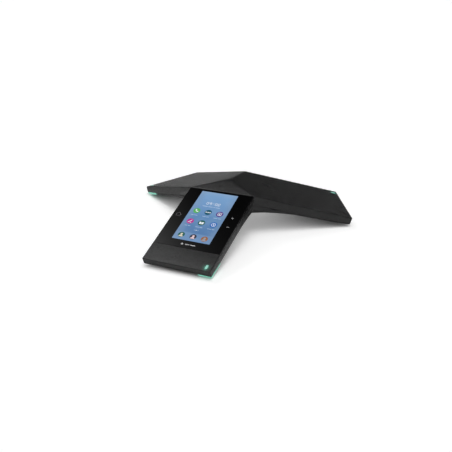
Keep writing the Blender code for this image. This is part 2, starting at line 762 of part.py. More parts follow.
def make_tip_cable(arm):
    """A flat ribbon that lies over the floor from the tip board to the hub."""
    builder = bmesh.new()
    near, far = RIBBON_LATERAL
    section = ((near, 0), (far, 0), (far, RIBBON_THICK), (near, RIBBON_THICK))
    rows = []
    for along in RIBBON_ALONG:
        height = roof(along) - floor_depth(along) + FLOOR + RIBBON_LIFT
        rows.append([builder.verts.new((lateral, -along, height + lift))
                     for lateral, lift in section])
    for first, second in zip(rows, rows[1:]):
        for index in range(len(section)):
            after = (index + 1) % len(section)
            builder.faces.new((first[index], first[after], second[after], second[index]))
    builder.faces.new(rows[0])
    builder.faces.new(rows[-1])
    add_object("tip_cable_" + ARM_NAMES[arm], builder, "flex_orange", ARMS[arm])


# ---------------------------------------------------------------- touch panel and main board

def make_display():
    glass = slab("cover_glass", (-GLASS_HALF, GLASS_HALF), (GLASS_START, GLASS_LENGTH),
                 (GLASS_TOP, GLASS_THICK), "glass")
    bevel(glass, GLASS_EDGE, 3)
    smooth(glass)
    layers = {name: slab(name, (-half, half), slope, depth, slot)
              for name, (half, slope, depth, slot) in DISPLAY_LAYERS.items()}
    opening_half, opening = GASKET_OPENING
    boolean(layers["display_gasket"],
            slab("gasket_cut", (-opening_half, opening_half), opening, (0, 2 * BEYOND), None))
    frame = layers["display_frame"]
    standoffs = rods_part("frame_standoffs", at_board_screws(STANDOFF), None, SLOPES[0])
    boolean(frame, standoffs, "UNION")
    pilots = rods_part("frame_pilots", at_board_screws(STANDOFF_PILOT), None, SLOPES[0])
    boolean(frame, pilots)
    boolean(frame, slab("flex_slot", *FLEX_SLOT, None))
    across = (-FLEX_HALF, FLEX_HALF)
    flex = slab("display_flex", across, (FLEX_START, FLEX_END),
                (FLEX_DEPTH, FLEX_DEPTH + FLEX_THICK), "flex_orange")
    riser = slab("flex_riser", across, (FLEX_END - FLEX_THICK, FLEX_END), RISER_DEPTH, None)
    boolean(flex, riser, "UNION")


def make_main_board():
    board = slab("main_board", *MAIN_BOARD, "board_green")
    boolean(board, rods_part("board_holes", at_board_screws(BOARD_HOLE), None, SLOPES[0]))
    shield = slab("processor_shield", *PROCESSOR_SHIELD, "frame_steel")
    bevel(shield, 0.4, 1)
    for index, (x, y) in enumerate(BOARD_SCREWS):
        make_screw(f"board_screw_{index + 1}", BOARD_SCREW, SLOPES[0],
                   offset(x, y, BOARD_SCREW_SEAT))


def make_radio():
    module = slab("wireless_module", *WIRELESS_BOARD, "board_green", 1)
    boolean(module, slab("radio_can", *WIRELESS_CAN, None, 1), "UNION")
    slab("antenna_right", *ANTENNA_RIGHT, "flex_orange", 1)
    slab("antenna_left", *ANTENNA_LEFT, "flex_orange", 2)


# ---------------------------------------------------------------- connector bay

def facing_box(name, ranges, back, front, slot):
    """A box that faces the bay: its x and z ranges, and its back and front."""
    (left, right), (low, high) = ranges
    return box_part(name, (left, back, low), (right, front, high), slot)


def around(middle, size):
    """The x and z ranges of a rectangle around its middle."""
    return [(centre - extent / 2, centre + extent / 2) for centre, extent in zip(middle, size)]


def facing_rod(name, radius, middle, back, length, slot, segments=SCREW_STEPS):
    x, z = middle
    return rods_part(name, [(radius, (x, back, z), length, segments, "Y")], slot)


def make_sockets():
    """Blocks behind the port panel, each with a rectangular mouth that faces the bay."""
    for name, (middle, size, mouth, depth) in SOCKETS.items():
        block = facing_box(name, around(middle, size), SOCKET_BACK, SOCKET_FRONT, "jack_metal")
        boolean(block, facing_box(name + "_mouth", around(middle, mouth), SOCKET_FRONT - depth,
                                  SOCKET_FRONT + BEYOND, None))
        if name in ("lan_jack", "pc_jack"):
            latch = (middle[0] - LATCH_HALF, middle[0] + LATCH_HALF)
            boolean(block, facing_box(name + "_latch", (latch, LATCH_HEIGHT),
                                      PANEL_Y - LATCH_DEPTH, PANEL_Y + BEYOND, None))
    audio = facing_box("audio_jack", AUDIO_BODY, SOCKET_BACK, SOCKET_FRONT, "jack_plastic")
    boolean(audio, facing_rod("audio_hole", AUDIO_HOLE_R, AUDIO_MIDDLE, PANEL_Y - AUDIO_DEPTH,
                              AUDIO_DEPTH + BEYOND, None))


def make_port_panel():
    panel = box_part("port_panel", (-PANEL_HALF, PANEL_Y, PANEL_LOW),
                     (PANEL_HALF, PANEL_Y + PANEL_THICK, BAY_TOP - GAP), "belly_black")
    shelf = box_part("panel_shelf", (-PANEL_HALF, BAY_FRONT - SHELF_FRONT, PANEL_LOW),
                     (PANEL_HALF, PANEL_Y + SHELF_BACK, PANEL_LOW + SHELF_THICK), None)
    boolean(panel, shelf, "UNION")
    back = PANEL_Y - BEYOND
    front = PANEL_Y + BEYOND
    for name, ranges in WINDOWS.items():
        boolean(panel, facing_box(name, ranges, back, front, None))
    boolean(panel, facing_rod("audio_window", AUDIO_WINDOW_R, AUDIO_MIDDLE, back, front - back,
                              None))
    boolean(panel, facing_rod("button_window", BUTTON_WINDOW_R, BUTTON_MIDDLE, back, front - back,
                              None, BUTTON_STEPS))


def make_ports():
    make_port_panel()
    make_sockets()
    lock = facing_box("lock_plate", LOCK_BODY, PANEL_Y - LOCK_BACK, SOCKET_FRONT, "frame_steel")
    boolean(lock, facing_box("lock_slot", LOCK_SLOT, PANEL_Y - BEYOND, PANEL_Y + BEYOND, None))
    facing_box("io_board", ((-BOARD_HALF, BOARD_HALF), BOARD_HEIGHT), BOARD_Y,
               BOARD_Y + BOARD_THICK, "board_green")
    make_power_button()
    box_part("io_cable", *IO_CABLE, "flex_orange")


def make_power_button():
    """A round cap in the port panel, on a switch on the I/O board."""
    radius, behind, length = BUTTON_CAP
    cap = facing_rod("power_button", radius, BUTTON_MIDDLE, PANEL_Y - behind, length,
                     "jack_plastic", BUTTON_STEPS)
    radius, behind, length = BUTTON_RIM
    rim = facing_rod("button_rim", radius, BUTTON_MIDDLE, PANEL_Y - behind, length, None,
                     BUTTON_STEPS)
    boolean(cap, rim, "UNION")
    radius, ahead, length = PLUNGER
    facing_rod("switch_plunger", radius, BUTTON_MIDDLE, BOARD_Y + ahead, length, "jack_plastic")
    body = facing_box("power_switch", around(BUTTON_MIDDLE, (2 * SWITCH_HALF, 2 * SWITCH_HALF)),
                      SOCKET_BACK, SOCKET_BACK + SWITCH_LENGTH, "jack_metal")
    radius, ahead, length = PLUNGER_BORE
    boolean(body, facing_rod("plunger_bore", radius, BUTTON_MIDDLE, BOARD_Y + ahead, length, None))


# ---------------------------------------------------------------- loudspeaker

def speaker_ear(index):
    turn = radians(120 * index - 30)
    return EAR_R * cos(turn), EAR_R * sin(turn)


def sheet(line):
    """The section of a thin turned sheet around a line of (radius, height) points."""
    return ([(radius, height + SHEET_HALF) for radius, height in line]
            + [(radius, height - SHEET_HALF) for radius, height in reversed(line)])


def dome(shape):
    """Points of a dome's section from the axis outward."""
    radius, base, rise = shape
    turns = [step / DOME_STEPS * pi / 2 for step in range(DOME_STEPS + 1)]
    return [(radius * sin(turn), base + rise * cos(turn)) for turn in turns]


def roll():
    """Points over the half-round surround."""
    radius, base = ROLL_MIDDLE
    half_width, rise = ROLL_SIZE
    turns = [step / ROLL_STEPS * pi for step in range(ROLL_STEPS + 1)]
    return [(radius - half_width * cos(turn), base + rise * sin(turn)) for turn in turns]


def make_speaker():
    turned("speaker_gasket", GASKET_PROFILE, "foam")
    frame = turned("speaker_frame", FRAME_PROFILE, "frame_steel")
    boolean(frame, rods_part("frame_ears", at_ears(EAR, 16), None), "UNION")
    boolean(frame, rods_part("ear_holes", at_ears(EAR_HOLE), None))
    turned("speaker_magnet", MAGNET_PROFILE, "magnet_steel")
    turned("speaker_coil", COIL_PROFILE, "copper")
    wave = [(SPIDER_START + step * SPIDER_PITCH, SPIDER_Z + SPIDER_WAVE * sin(step * pi / 2))
            for step in range(SPIDER_POINTS)]
    turned("speaker_spider", sheet(wave), "cone_paper")
    turned("speaker_cone", dome(DOME_OUTER) + CONE_SKIRT + dome(DOME_INNER)[-2::-1], "cone_paper")
    turned("speaker_surround", sheet(roll()), "rubber")


make_top_cover()
make_base_cover()
make_case_screws()
make_display()
make_main_board()
make_radio()
make_ports()
make_speaker()
for arm_index in range(3):
    make_tip(arm_index)
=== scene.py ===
"""Looks of the three-legged conference phone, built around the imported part.

Lengths in this file are millimetres unless a name says otherwise; they become metres when a mesh is
made. Arm coordinates are lateral (to the left of someone looking outward), along (distance from the
hub axis) and height. Slope coordinates lie in an arm's roof plane: lateral, slope (distance from the
notch line, outward) and rise (out of the roof).
"""

import json
from math import atan, cos, pi, radians, sin, sqrt, tan

import bmesh
import bpy
from mathutils import Matrix, Vector

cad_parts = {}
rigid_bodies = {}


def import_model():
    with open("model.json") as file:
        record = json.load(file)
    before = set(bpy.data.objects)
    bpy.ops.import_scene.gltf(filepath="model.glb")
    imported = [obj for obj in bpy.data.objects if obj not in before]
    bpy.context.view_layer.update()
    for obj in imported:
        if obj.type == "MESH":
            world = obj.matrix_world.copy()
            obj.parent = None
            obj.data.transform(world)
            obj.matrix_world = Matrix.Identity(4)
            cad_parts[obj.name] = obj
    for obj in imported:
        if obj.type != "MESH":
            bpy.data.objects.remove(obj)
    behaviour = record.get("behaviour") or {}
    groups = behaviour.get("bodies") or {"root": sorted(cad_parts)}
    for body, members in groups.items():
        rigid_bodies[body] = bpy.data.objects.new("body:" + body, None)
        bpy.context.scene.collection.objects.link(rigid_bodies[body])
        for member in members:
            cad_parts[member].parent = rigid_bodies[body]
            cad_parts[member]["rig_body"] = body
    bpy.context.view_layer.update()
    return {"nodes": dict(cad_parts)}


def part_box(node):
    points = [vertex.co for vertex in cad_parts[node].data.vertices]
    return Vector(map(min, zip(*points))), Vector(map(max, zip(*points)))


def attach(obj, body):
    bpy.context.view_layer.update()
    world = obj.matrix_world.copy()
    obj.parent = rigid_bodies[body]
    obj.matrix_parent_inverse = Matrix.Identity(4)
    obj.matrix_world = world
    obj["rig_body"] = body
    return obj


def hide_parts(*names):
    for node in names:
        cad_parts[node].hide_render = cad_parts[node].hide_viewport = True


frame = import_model()
NODES = frame["nodes"]

MM = 0.001

# The body's driving dimensions, as in the part's source
REACH = 190.0
HALF = 55.3
PEAK_Z = 74.5
TIP_Z = 15.1
GRADIENT = (PEAK_Z - TIP_Z) / REACH
TILT = atan(GRADIENT)
NOTCH_ALONG = HALF / tan(radians(60))
ARM_NAMES = ("front", "right", "left")

# Touch panel and mute sign, in slope coordinates
LCD_HALF = 31.15
LCD_START = 4.66
LCD_END = 115.36
LCD_CORNER = 0.8
MUTE_LATERAL = 46.1
MUTE_SLOPE = 157.5
MUTE_PEN = 0.6
CRADLE_R = 3.0                 # the arc under the microphone sign's capsule

# Prints and lit plates: how far they stand out of the roof, and how thick they are
PRINT_RISE = 0.03
PRINT_HEIGHT = 0.03
DISC_HEIGHT = 0.02
MARK_RISE = 0.055              # marks on an icon's disc

# The cover's metal mesh: hole pitch, hole edge as a share of the pitch, and its tones
HOLE_PITCH = 0.95
HOLE_EDGE = (0.31, 0.22)
SKIN_TONES = ((0.0185, 0.0185, 0.0193), (0.0235, 0.0235, 0.0244))
SKIN_FINE = (0.007, 0.007, 0.0075)
SKIN_PIT = (0.002, 0.002, 0.002)
# painted highlight: a lighter tone laid along the cover's edges
SKIN_EDGE_HIGHLIGHT = (0.045, 0.045, 0.047)

# The mint glow on the cover around each mute sign: radii where it starts and is full, and its tones
GLOW_RADII = (9.5, 2.0)
GLOW_TONES = ((0.008, 0.042, 0.030), (0.020, 0.078, 0.056))

# Noise stays mostly between these values
NOISE_SPAN = (0.3, 0.7)

# Black glass, its finger marks and a painted highlight along its edges
GLASS_TONES = ((0.0006, 0.0006, 0.0007), (0.0014, 0.0014, 0.0016))
GLASS_EDGE_HIGHLIGHT = (0.02, 0.02, 0.022)
MARKS_MM = 14
MARKS_SPAN = (0.45, 0.75)
MARKS_GLOSS = (0.035, 0.10)

# The wallpaper's colours down the screen, and the lighter dock along its foot
WALLPAPER = ((0.0, (134, 165, 200)), (0.08, (120, 159, 201)), (0.3, (112, 150, 194)),
             (0.55, (94, 135, 180)), (0.82, (86, 124, 170)), (1.0, (96, 130, 172)))
DOCK_START = (0.845, 0.86)
DOCK_COLOUR = (112, 146, 188)
SIDE_COLOUR = (122, 146, 176)
CLOUD_COLOUR = (150, 178, 210)

# Lit colours, as 0-255 display values
SCREEN_COLOURS = {
    "white": (235, 240, 246), "pale": (176, 198, 224), "leaf": (88, 170, 92),
    "teal": (28, 84, 104), "purple": (84, 44, 128), "magenta": (176, 56, 140),
    "pine": (30, 92, 84), "blue": (46, 104, 180), "cream": (214, 206, 186),
    "slate": (52, 56, 72), "rose": (226, 200, 206), "rust": (150, 98, 62), "ash": (150, 152, 160),
}
MINT = (0.17, 0.50, 0.38)
MINT_SIGN = (0.26, 0.57, 0.48)
MINT_DIM = (0.06, 0.26, 0.19)

# Screen layout, in slope coordinates
CLOCK_SLOPE = 31.0
DIGIT_WIDTH = 3.6
DIGIT_HEIGHT = 5.6
DIGIT_PEN = 0.6
ZEROS = (-9.9, 4.4, 9.4)       # lateral places of the zeros, and of the nine
NINE = -4.9
DATE_SLOPE = 38.0
DATE_BARS = ((-11.4, 8.8), (-2.2, 7.2), (4.2, 3.0), (10.2, 7.0))   # lateral, width
ICONS = (("call", -19.9, 50.7, "leaf"), ("links", -0.3, 50.7, "teal"),
         ("people", 19.3, 50.7, "purple"), ("notes", -19.6, 75.0, "magenta"),
         ("book", -0.4, 75.0, "pine"), ("history", 19.6, 75.0, "blue"))
ICON_R = 5.7
LABEL_DROP = 9.9
DOTS = (-1.4, 92.1)
CONTACTS = ((-19.8, 105.4, "pine", "cream"), (0.1, 106.0, "slate", "rose"),
            (19.0, 106.6, "rust", "ash"))
CONTACT_R = 5.4

# Printed signs beside the screen
HOME_SIGN = (-44.9, 63.9)
HOME_PEN = 0.7
VOLUME_UP = (42.4, 54.7)
VOLUME_DOWN = (43.1, 74.8)
VOLUME_HALF = 2.0
VOLUME_PEN = 0.6
BADGE_SLOPE = 123.2

# Case screws, in millimetres from the head's outer face
LOBES = 6
SCREW_HEAD = ((1.15, 0.95, 0.2), (1.25, 0.0, 0.2), (2.2, 0.0, 0.0), (2.72, 0.12, 0.0),
              (3.0, 0.45, 0.0), (3.0, 1.5, 0.0), (1.1, 1.5, 0.0))   # radius, height, lobe depth
SCREW_THREADS = 8
THREAD_FOOT = 1.9
THREAD_END = 0.7
THREAD_RISE = 0.35
CORE_R = 0.86
THREAD_R = 1.1
SCREW_TIP = ((0.8, 0.4), (0.45, 0.0))   # radius, distance from the end

# Contacts and tongues inside the sockets
JACK_PINS = 8
PIN_PITCH = 1.02
PIN_WIDTH = 0.4
PIN_RUN = (10.5, 1.2)          # back and front of a contact, behind the jack's face
PIN_HEIGHT = (2.4, 2.7)        # above the jack's underside
PIN_LEAN = 2.0
USB_PINS = 4
TONGUES = (                    # node, piece, width, height, length, lift above the middle
    ("usb_a_port", "usb_a_tongue", 10.6, 1.7, 8.6, 0.7),
    ("micro_usb_port", "micro_usb_tongue", 4.8, 0.6, 4.2, 0.2),
)
STANDBY_R = 1.45
STANDBY_ARC = (-50, 230)       # degrees where the standby sign's arc starts and ends
STANDBY_BAR = (-2.0, -0.5)
STANDBY_PEN = 0.42
AUDIO_Z = 46.6
COLLAR = (1.75, 2.1, 0.02, 1.4)   # inner and outer radius, back and front from the jack's face
ROUND_STEPS = 28

# Studio: floor radius in metres, and the camera-only glow of the floor, full where the sky is open
# and dimmed by ambient occlusion near the object, which paints a darker shadow there
FLOOR_RADIUS = 14.0
FLOOR_TONE = 0.82
CAMERA_GLOW = 0.37
GLOW_REACH = 0.05
GLOW_OPEN = 0.5
SOFT_LIGHTS = (
    # name, azimuth from +Y towards +X, elevation, sharpness, strength
    ("overhead", 110, 80, 22, 7.2),
    ("front_fill", 195, 50, 8, 0.4),
    ("left_panel", 288, 50, 120, 9.0),
    ("back_strip", 12, 8, 100, 1.2),
)

# Camera: lens in millimetres, angles in degrees, place in metres from the hub axis on the floor
LENS = 51.35
SENSOR = 36.0
CAMERA_AZIMUTH = 26.009
CAMERA_ELEVATION = 26.045
CAMERA_ROLL = -2.292
CAMERA_SPOT = (0.41644, -0.87420, 0.46315)


def middle(node):
    low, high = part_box(node)
    return (low + high) / 2


HUB = Matrix.Translation((middle("speaker_surround").x, middle("speaker_surround").y, 0))
ARMS = [HUB @ Matrix.Rotation(radians(120 * index), 4, "Z") for index in range(3)]
SLOPES = [arm @ Matrix.Translation((0, -NOTCH_ALONG * MM, (PEAK_Z - GRADIENT * NOTCH_ALONG) * MM))
          @ Matrix.Rotation(TILT, 4, "X") for arm in ARMS]


# ---------------------------------------------------------------- node trees

def add(tree, kind, inputs=None, **settings):
    """Adds a shader node; an input is a value or the socket that feeds it."""
    node = tree.nodes.new(kind)
    for key, value in settings.items():
        setattr(node, key, value)
    for key, value in (inputs or {}).items():
        if isinstance(value, bpy.types.NodeSocket):
            tree.links.new(value, node.inputs[key])
        else:
            node.inputs[key].default_value = value
    return node


def math_node(tree, operation, first, second=0.0):
    return add(tree, "ShaderNodeMath", {0: first, 1: second}, operation=operation).outputs[0]


def vector_node(tree, operation, first, second=(0, 0, 0)):
    node = add(tree, "ShaderNodeVectorMath", {0: first, 1: second}, operation=operation)
    return node.outputs["Value"] if operation in ("LENGTH", "DOT_PRODUCT") else node.outputs[0]


def span(tree, value, low, high, to_low=0.0, to_high=1.0, kind="SMOOTHSTEP"):
    """Maps a value from low..high to to_low..to_high, clamped."""
    return add(tree, "ShaderNodeMapRange",
               {"Value": value, "From Min": low, "From Max": high, "To Min": to_low,
                "To Max": to_high}, interpolation_type=kind).outputs["Result"]


def blend_colours(tree, factor, first, second):
    node = add(tree, "ShaderNodeMix", {"Factor": factor}, data_type="RGBA")
    for socket, value in ((node.inputs[6], first), (node.inputs[7], second)):
        if isinstance(value, bpy.types.NodeSocket):
            tree.links.new(value, socket)
        else:
            socket.default_value = (*value, 1.0)
    return node.outputs[2]


def new_material(name):
    material = bpy.data.materials.new(name)
    material.use_nodes = True
    return material, material.node_tree, material.node_tree.nodes["Principled BSDF"]


def place(tree):
    return add(tree, "ShaderNodeTexCoord").outputs["Object"]


def noise(tree, scale_mm, detail=3.0, coordinate=None, roughness=0.55):
    """Noise whose features are about scale_mm across."""
    return add(tree, "ShaderNodeTexNoise",
               {"Vector": coordinate or place(tree), "Scale": 1 / (scale_mm * MM),
                "Detail": detail, "Roughness": roughness}).outputs["Fac"]


def edge_mask(tree, width_mm):
    """1 on convex and concave edges, 0 on open faces."""
    bevel = add(tree, "ShaderNodeBevel", {"Radius": width_mm * MM}, samples=6)
    true_normal = add(tree, "ShaderNodeNewGeometry").outputs["Normal"]
    turn = vector_node(tree, "DOT_PRODUCT", bevel.outputs[0], true_normal)
    return span(tree, turn, 0.995, 0.8)


def linear(red, green, blue):
    """A colour given as 0-255 display values, as linear light."""
    def channel(value):
        value = value / 255
        return value / 12.92 if value <= 0.04045 else ((value + 0.055) / 1.055) ** 2.4
    return channel(red), channel(green), channel(blue)


def moulded(name, colour, roughness, grain_mm=0.5, grain=0.05, spread=0.25, wear=0.25,
            metallic=0.0, specular=0.5, blotch_mm=22.0, streak=None):
    """Plastic, rubber or metal with grain, uneven gloss, tone variation and lighter edges."""
    material, tree, shader = new_material(name)
    coordinate = place(tree)
    if streak:
        coordinate = vector_node(tree, "MULTIPLY", coordinate, streak)
    fine = noise(tree, grain_mm, 4.0, coordinate)
    broad = noise(tree, blotch_mm, 2.0)
    darker = tuple(channel * (1 - spread) for channel in colour)
    lighter = tuple(min(1.0, channel * (1 + spread)) for channel in colour)
    tone = blend_colours(tree, span(tree, broad, *NOISE_SPAN), darker, lighter)
    tone = blend_colours(tree, span(tree, fine, 0.35, 0.65, 0.0, 0.5), tone, darker)
    edges = math_node(tree, "MULTIPLY", edge_mask(tree, 0.6), wear)
    worn = tuple(min(1.0, channel * 1.8 + 0.02) for channel in colour)
    tree.links.new(blend_colours(tree, edges, tone, worn), shader.inputs["Base Color"])
    gloss = span(tree, math_node(tree, "ADD", fine, broad), 0.7, 1.3,
                 max(0.03, roughness - 0.08), roughness + 0.08)
    tree.links.new(gloss, shader.inputs["Roughness"])
    bump = add(tree, "ShaderNodeBump", {"Strength": 0.6, "Distance": grain * MM, "Height": fine})
    tree.links.new(bump.outputs[0], shader.inputs["Normal"])
    shader.inputs["Metallic"].default_value = metallic
    shader.inputs["Specular IOR Level"].default_value = specular
    return material


def perforated(name):
    """Dark metal mesh: a hexagonal lattice of small holes over a painted skin, with a painted
    highlight along its edges.
    """
    material, tree, shader = new_material(name)
    pitch = HOLE_PITCH * MM
    weave = add(tree, "ShaderNodeAttribute", attribute_name="weave").outputs["Vector"]
    root3 = sqrt(3)
    cells = vector_node(tree, "MULTIPLY", weave, (1 / pitch, 1 / (root3 * pitch), 0))
    distances = []
    for shift in (0.0, 0.5):
        moved = vector_node(tree, "ADD", cells, (shift, shift, 0))
        local = vector_node(tree, "SUBTRACT", vector_node(tree, "FRACTION", moved), (0.5, 0.5, 0))
        local = vector_node(tree, "MULTIPLY", local, (1, root3, 0))
        distances.append(vector_node(tree, "LENGTH", local))
    nearest = math_node(tree, "MINIMUM", distances[0], distances[1])
    holes = span(tree, nearest, *HOLE_EDGE)
    broad = noise(tree, 35, 2.0)
    fine = noise(tree, 0.35, 3.0)
    mottle = noise(tree, 1.9, 1.0)
    skin = blend_colours(tree, span(tree, broad, *NOISE_SPAN), *SKIN_TONES)
    skin = blend_colours(tree, span(tree, fine, 0.4, 0.7, 0.0, 0.35), skin, SKIN_FINE)
    skin = blend_colours(tree, span(tree, mottle, 0.36, 0.58), SKIN_PIT, skin)
    # painted highlight: the cover's edges get a lighter tone
    edges = math_node(tree, "MULTIPLY", edge_mask(tree, 0.8), 0.35)
    skin = blend_colours(tree, edges, skin, SKIN_EDGE_HIGHLIGHT)
    skin = blend_colours(tree, holes, skin, SKIN_PIT)
    tree.links.new(skin, shader.inputs["Base Color"])
    gloss = span(tree, math_node(tree, "ADD", fine, broad), 0.7, 1.3, 0.26, 0.36)
    tree.links.new(math_node(tree, "ADD", gloss, math_node(tree, "MULTIPLY", holes, 0.6)),
                   shader.inputs["Roughness"])
    dents = math_node(tree, "SUBTRACT", math_node(tree, "MULTIPLY", fine, 0.25), holes)
    dents = math_node(tree, "ADD", dents, math_node(tree, "MULTIPLY", mottle, 0.9))
    bump = add(tree, "ShaderNodeBump", {"Strength": 0.5, "Distance": 0.12 * MM, "Height": dents})
    tree.links.new(bump.outputs[0], shader.inputs["Normal"])
    shader.inputs["Specular IOR Level"].default_value = 0.6
    tree.links.new(blend_colours(tree, holes, *GLOW_TONES), shader.inputs["Emission Color"])
    tree.links.new(sign_glow(tree), shader.inputs["Emission Strength"])
    return material


def sign_glow(tree):
    """1 beside each mute sign, fading to 0 around it."""
    glow = 0.0
    start, full = GLOW_RADII
    for slope in SLOPES:
        sign = slope @ Vector((MUTE_LATERAL * MM, -(MUTE_SLOPE + 1) * MM, 0))
        apart = vector_node(tree, "LENGTH", vector_node(tree, "SUBTRACT", place(tree), sign))
        glow = math_node(tree, "ADD", span(tree, apart, start * MM, full * MM), glow)
    return glow


def glossy_glass(name):
    """Black cover glass with faint finger marks in its gloss and a painted highlight along its
    edges.
    """
    material, tree, shader = new_material(name)
    marks = noise(tree, MARKS_MM, 5.0)
    tree.links.new(span(tree, marks, *MARKS_SPAN, *MARKS_GLOSS), shader.inputs["Roughness"])
    tone = blend_colours(tree, span(tree, noise(tree, 60, 1.0), *NOISE_SPAN), *GLASS_TONES)
    # painted highlight: the glass's edges get a lighter tone
    edges = math_node(tree, "MULTIPLY", edge_mask(tree, 0.5), 0.5)
    tree.links.new(blend_colours(tree, edges, tone, GLASS_EDGE_HIGHLIGHT), shader.inputs["Base Color"])
    bump = add(tree, "ShaderNodeBump", {"Strength": 0.05, "Distance": 0.02 * MM, "Height": marks})
    tree.links.new(bump.outputs[0], shader.inputs["Normal"])
    return material


def screen_light(name):
    """The lit wallpaper: blue, lighter at the top and along the dock, with soft clouds."""
    material, tree, shader = new_material(name)
    chart = add(tree, "ShaderNodeAttribute", attribute_name="chart").outputs["Vector"]
    parts = add(tree, "ShaderNodeSeparateXYZ", {0: chart})
    across, down = parts.outputs[0], parts.outputs[1]
    ramp = add(tree, "ShaderNodeValToRGB", {"Fac": down})
    stops = ramp.color_ramp.elements
    stops.remove(stops[0])
    stops[0].position, first = WALLPAPER[0]
    stops[0].color = (*linear(*first), 1)
    for position, colour in WALLPAPER[1:]:
        stops.new(position).color = (*linear(*colour), 1)
    dock = span(tree, down, *DOCK_START)
    colour = blend_colours(tree, math_node(tree, "MULTIPLY", dock, 0.75), ramp.outputs[0],
                           linear(*DOCK_COLOUR))
    sides = span(tree, math_node(tree, "ABSOLUTE", across), 0.55, 1.0, 0.0, 0.5)
    colour = blend_colours(tree, sides, colour, linear(*SIDE_COLOUR))
    clouds = span(tree, noise(tree, 24, 3.0), 0.4, 0.75, 0.0, 0.22)
    colour = blend_colours(tree, clouds, colour, linear(*CLOUD_COLOUR))
    tree.links.new(colour, shader.inputs["Emission Color"])
    shader.inputs["Emission Strength"].default_value = 1.0
    shader.inputs["Base Color"].default_value = (0.001, 0.001, 0.0012, 1)
    tree.links.new(span(tree, noise(tree, MARKS_MM, 5.0), *MARKS_SPAN, *MARKS_GLOSS),
                   shader.inputs["Roughness"])
    return material


def lit(name, colour, strength=1.0, patch_mm=4.0, change=0.12, base=(0.001, 0.001, 0.001)):
    """A glowing print or lamp, a little uneven over its face."""
    material, tree, shader = new_material(name)
    uneven = noise(tree, patch_mm, 2.0)
    low = tuple(channel * (1 - change) for channel in colour)
    high = tuple(channel * (1 + change) for channel in colour)
    tree.links.new(blend_colours(tree, span(tree, uneven, *NOISE_SPAN), low, high),
                   shader.inputs["Emission Color"])
    shader.inputs["Emission Strength"].default_value = strength
    shader.inputs["Base Color"].default_value = (*base, 1)
    tree.links.new(span(tree, uneven, *NOISE_SPAN, 0.08, 0.2), shader.inputs["Roughness"])
    return material


def board_green(name):
    """Solder mask over copper tracks, with bare pads."""
    material, tree, shader = new_material(name)
    coordinate = vector_node(tree, "MULTIPLY", place(tree), (1000, 1000, 1000))
    bricks = add(tree, "ShaderNodeTexBrick",
                 {"Vector": coordinate, "Scale": 0.45, "Mortar Size": 0.06,
                  "Color1": (0.010, 0.075, 0.030, 1), "Color2": (0.014, 0.095, 0.040, 1),
                  "Mortar": (0.03, 0.16, 0.07, 1)})
    pads = add(tree, "ShaderNodeTexVoronoi", {"Vector": coordinate, "Scale": 0.35})
    pad = span(tree, pads.outputs["Distance"], 0.16, 0.12)
    tree.links.new(blend_colours(tree, pad, bricks.outputs[0], (0.55, 0.42, 0.16)),
                   shader.inputs["Base Color"])
    tree.links.new(pad, shader.inputs["Metallic"])
    tree.links.new(span(tree, noise(tree, 3), *NOISE_SPAN, 0.28, 0.45), shader.inputs["Roughness"])
    bump = add(tree, "ShaderNodeBump",
               {"Strength": 0.4, "Distance": 0.05 * MM, "Height": bricks.outputs["Fac"]})
    tree.links.new(bump.outputs[0], shader.inputs["Normal"])
    return material


LOOKS = {
    "cover": perforated("cover_mesh"),
    "belly": moulded("belly_plastic", (0.016, 0.016, 0.017), 0.5, 0.35, 0.04),
    "glass": glossy_glass("black_glass"),
    "screen": screen_light("lit_screen"),
    "gasket": moulded("gasket_foam", (0.02, 0.02, 0.02), 0.95, 0.25, 0.12, 0.3, 0.1),
    "steel": moulded("plate_steel", (0.42, 0.42, 0.43), 0.34, 0.6, 0.02, 0.1, 0.3, 1.0,
                     streak=(1, 8, 1)),
    "magnet": moulded("magnet_iron", (0.22, 0.22, 0.23), 0.42, 0.8, 0.04, 0.2, 0.4, 1.0),
    "screw": moulded("screw_zinc", (0.10, 0.10, 0.105), 0.36, 0.3, 0.02, 0.2, 0.6, 1.0),
    "jack": moulded("jack_shell", (0.55, 0.55, 0.53), 0.3, 0.5, 0.02, 0.1, 0.3, 1.0,
                    streak=(6, 1, 1)),
    "contact": moulded("gold_contacts", (0.75, 0.53, 0.22), 0.28, 0.2, 0.01, 0.1, 0.2, 1.0),
    "black": moulded("black_plastic", (0.013, 0.013, 0.014), 0.42, 0.4, 0.03),
    "rubber": moulded("foot_rubber", (0.018, 0.018, 0.018), 0.8, 0.3, 0.08, 0.3, 0.15),
    "board": board_green("board_mask"),
    "flex": moulded("flex_film", (0.42, 0.19, 0.035), 0.38, 1.2, 0.02, 0.2, 0.1),
    "paper": moulded("cone_paper", (0.03, 0.029, 0.027), 0.9, 0.5, 0.15, 0.35, 0.1),
    "copper": moulded("coil_copper", (0.62, 0.28, 0.13), 0.35, 0.4, 0.1, 0.15, 0.3, 1.0,
                      streak=(0.2, 0.2, 6)),
    "panel": moulded("backlight_film", (0.6, 0.6, 0.62), 0.5, 0.8, 0.02, 0.08, 0.1),
    "pipe": lit("mint_light", MINT, 1.0, 7.0, 0.3, (0.05, 0.14, 0.10)),
    "symbol": lit("mint_symbol", MINT_SIGN, 1.0, 3.0, 0.12, (0.08, 0.16, 0.13)),
    "symbol_dim": lit("mint_symbol_dim", MINT_DIM, 1.0, 3.0, 0.12, (0.03, 0.08, 0.06)),
    "print": moulded("white_print", (0.62, 0.62, 0.64), 0.45, 0.3, 0.01, 0.1, 0.0),
    "faint": moulded("faint_print", (0.10, 0.09, 0.10), 0.4, 0.3, 0.01, 0.1, 0.0),
}
LOOKS.update({look: lit("lit_" + look, linear(*colour), 1.0, 1.5, 0.06)
              for look, colour in SCREEN_COLOURS.items()})


# ---------------------------------------------------------------- mesh helpers

